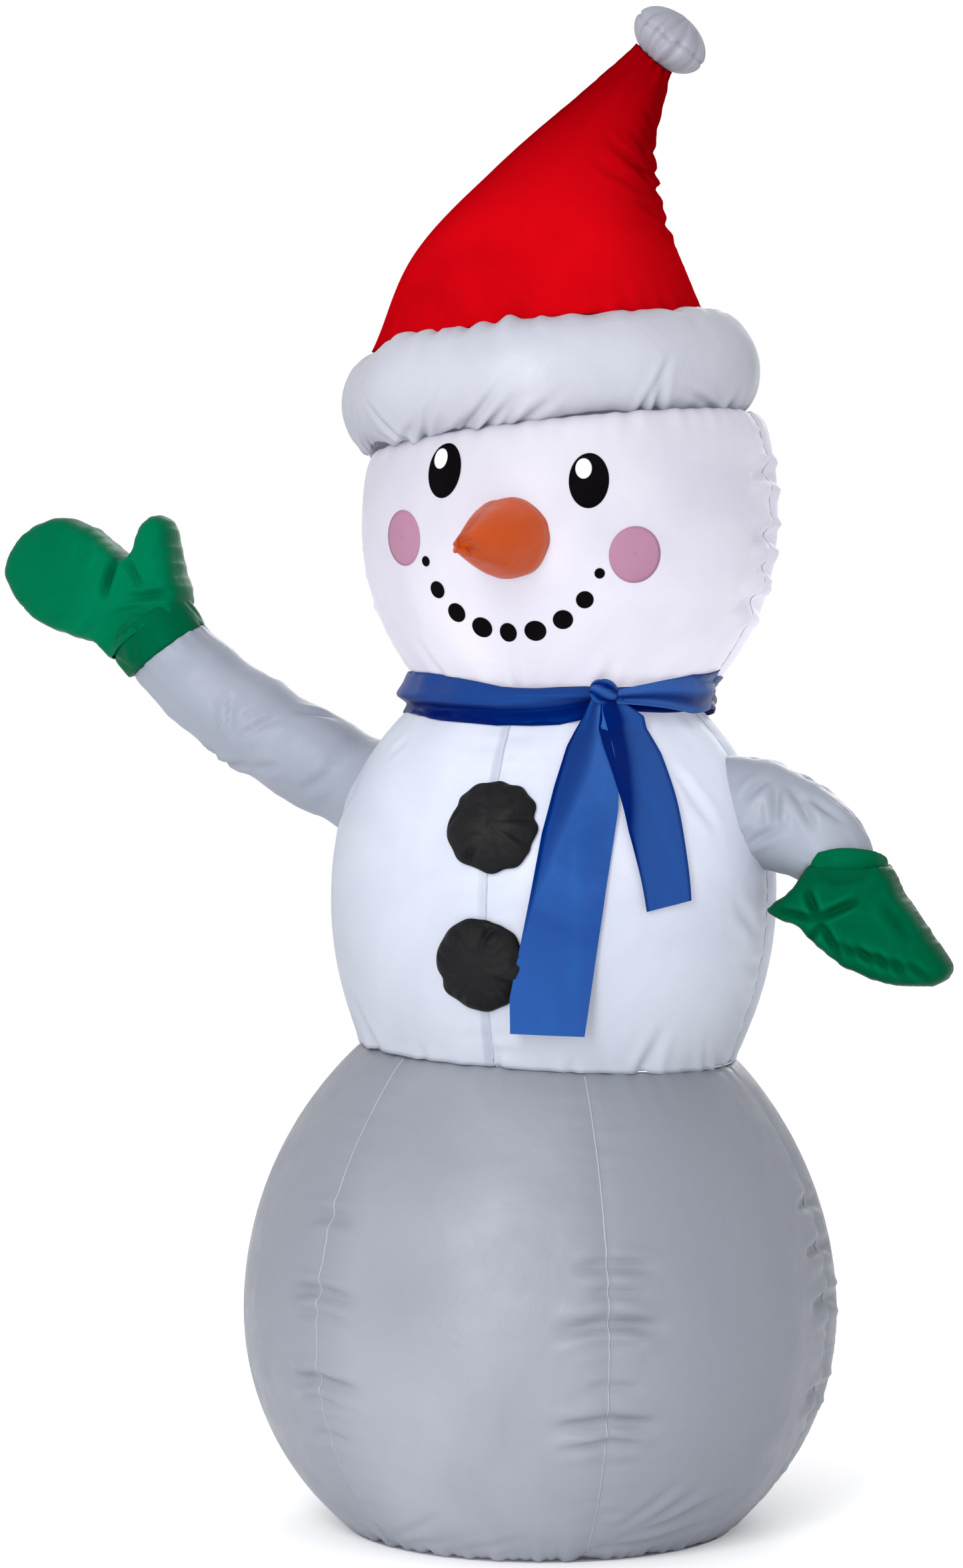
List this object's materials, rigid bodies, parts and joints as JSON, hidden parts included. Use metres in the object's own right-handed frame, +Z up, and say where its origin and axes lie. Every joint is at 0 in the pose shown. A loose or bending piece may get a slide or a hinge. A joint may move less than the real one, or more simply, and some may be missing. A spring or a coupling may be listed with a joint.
{
  "type": "inflatable yard snowman",
  "caption": "Air-filled standing snowman of sewn fabric with hat, scarf, mittens and face, inner lamps, rear fan blower, zip and stake tabs.",
  "frame": {"origin": "centre of the flat bottom panel on the ground", "axes": "+Z up, the face looks along -Y, the raised arm is on -X"},
  "size_m": [0.8121, 0.5449, 1.2291],
  "materials": {
    "base_fabric": "matte",
    "torso_fabric": "satin",
    "head_fabric": "satin",
    "brim_fabric": "satin",
    "arm_fabric": "matte",
    "hat_fabric": "satin",
    "pompom_fabric": "matte",
    "mitten_fabric": "satin",
    "cuff_fabric": "satin",
    "scarf_fabric": "matte",
    "button_fabric": "satin",
    "nose_fabric": "satin",
    "baffle_fabric": "matte",
    "sandbag_fabric": "matte",
    "webbing": "matte",
    "zip_tape": "matte",
    "zip_metal": "satin",
    "eyelet_metal": "satin",
    "blower_plastic": "matte",
    "fan_plastic": "satin",
    "inlet_plastic": "gloss",
    "band_plastic": "satin",
    "motor_steel": "brushed",
    "screw_steel": "satin",
    "bush_brass": "satin",
    "magnet": "matte",
    "armature": "matte",
    "gland_rubber": "matte",
    "lead_pvc": "satin",
    "socket_plastic": "satin",
    "lamp_dome": "clear"
  },
  "bodies": {
    "root": {"base_floor": "base_fabric", "base_gore_back": "base_fabric", "base_gore_back_left": "base_fabric", "base_gore_back_right": "base_fabric", "base_gore_front": "base_fabric", "base_gore_front_left": "base_fabric", "base_gore_front_right": "base_fabric", "blower_housing": "blower_plastic", "blower_sleeve": "base_fabric", "bottom_button": "button_fabric", "carrot_nose": "nose_fabric", "dc_inlet": "inlet_plastic", "grille_screws": "screw_steel", "hat_back_panel": "hat_fabric", "hat_brim": "brim_fabric", "hat_front_panel": "hat_fabric", "hat_pompom": "pompom_fabric", "head_back": "head_fabric", "head_front": "head_fabric", "intake_grille": "blower_plastic", "lamp_gland": "gland_rubber", "lamp_lead_lower": "lead_pvc", "lamp_lead_upper": "lead_pvc", "lamp_lower": "lamp_dome", "lamp_socket_lower": "socket_plastic", "lamp_socket_upper": "socket_plastic", "lamp_ties": "webbing", "lamp_upper": "lamp_dome", "lowered_cuff": "cuff_fabric", "lowered_mitten": "mitten_fabric", "lowered_sleeve": "arm_fabric", "motor_bush_inner": "bush_brass", "motor_bush_outer": "bush_brass", "motor_can": "motor_steel", "motor_end_cap": "fan_plastic", "motor_magnets": "magnet", "motor_mount": "fan_plastic", "raised_cuff": "cuff_fabric", "raised_mitten": "mitten_fabric", "raised_sleeve": "arm_fabric", "sandbag_left": "sandbag_fabric", "sandbag_right": "sandbag_fabric", "scarf_collar": "scarf_fabric", "scarf_knot": "scarf_fabric", "sleeve_band": "band_plastic", "stake_eyelets": "eyelet_metal", "stake_tabs": "webbing", "top_button": "button_fabric", "torso_back": "torso_fabric", "torso_front_left": "torso_fabric", "torso_front_right": "torso_fabric", "waist_baffle": "baffle_fabric", "zipper_tape": "zip_tape"},
    "fan_rotor": {"impeller": "fan_plastic", "motor_shaft": "motor_steel", "motor_armature": "armature"},
    "zip_slider": {"zipper_slider": "zip_metal"},
    "zip_pull": {"zipper_pull": "zip_metal"},
    "long_tail": {"scarf_tail_long": "scarf_fabric"},
    "short_tail": {"scarf_tail_short": "scarf_fabric"}
  },
  "joints": [
    {"name": "impeller_spin", "type": "hinge", "parent": "root", "child": "fan_rotor", "pos_m": [0, 0.188, 0.072], "axis": [0, 1, 0], "continuous": true},
    {"name": "zip_travel", "type": "hinge", "parent": "root", "child": "zip_slider", "pos_m": [0, 0, 0.219], "axis": [0, 0, 1], "range_deg": [0, 38]},
    {"name": "zip_pull_swing", "type": "hinge", "parent": "zip_slider", "child": "zip_pull", "pos_m": [0.07989, 0.23202, 0.222], "axis": [0.9455, -0.3256, 0], "range_deg": [0, 140]},
    {"name": "long_tail_swing", "type": "hinge", "parent": "root", "child": "long_tail", "pos_m": [0.07324, -0.11903, 0.649], "axis": [-0.9397, -0.342, 0], "range_deg": [0, 60]},
    {"name": "short_tail_swing", "type": "hinge", "parent": "root", "child": "short_tail", "pos_m": [0.10289, -0.09884, 0.649], "axis": [-0.7314, -0.682, 0], "range_deg": [0, 60]}
  ]
}
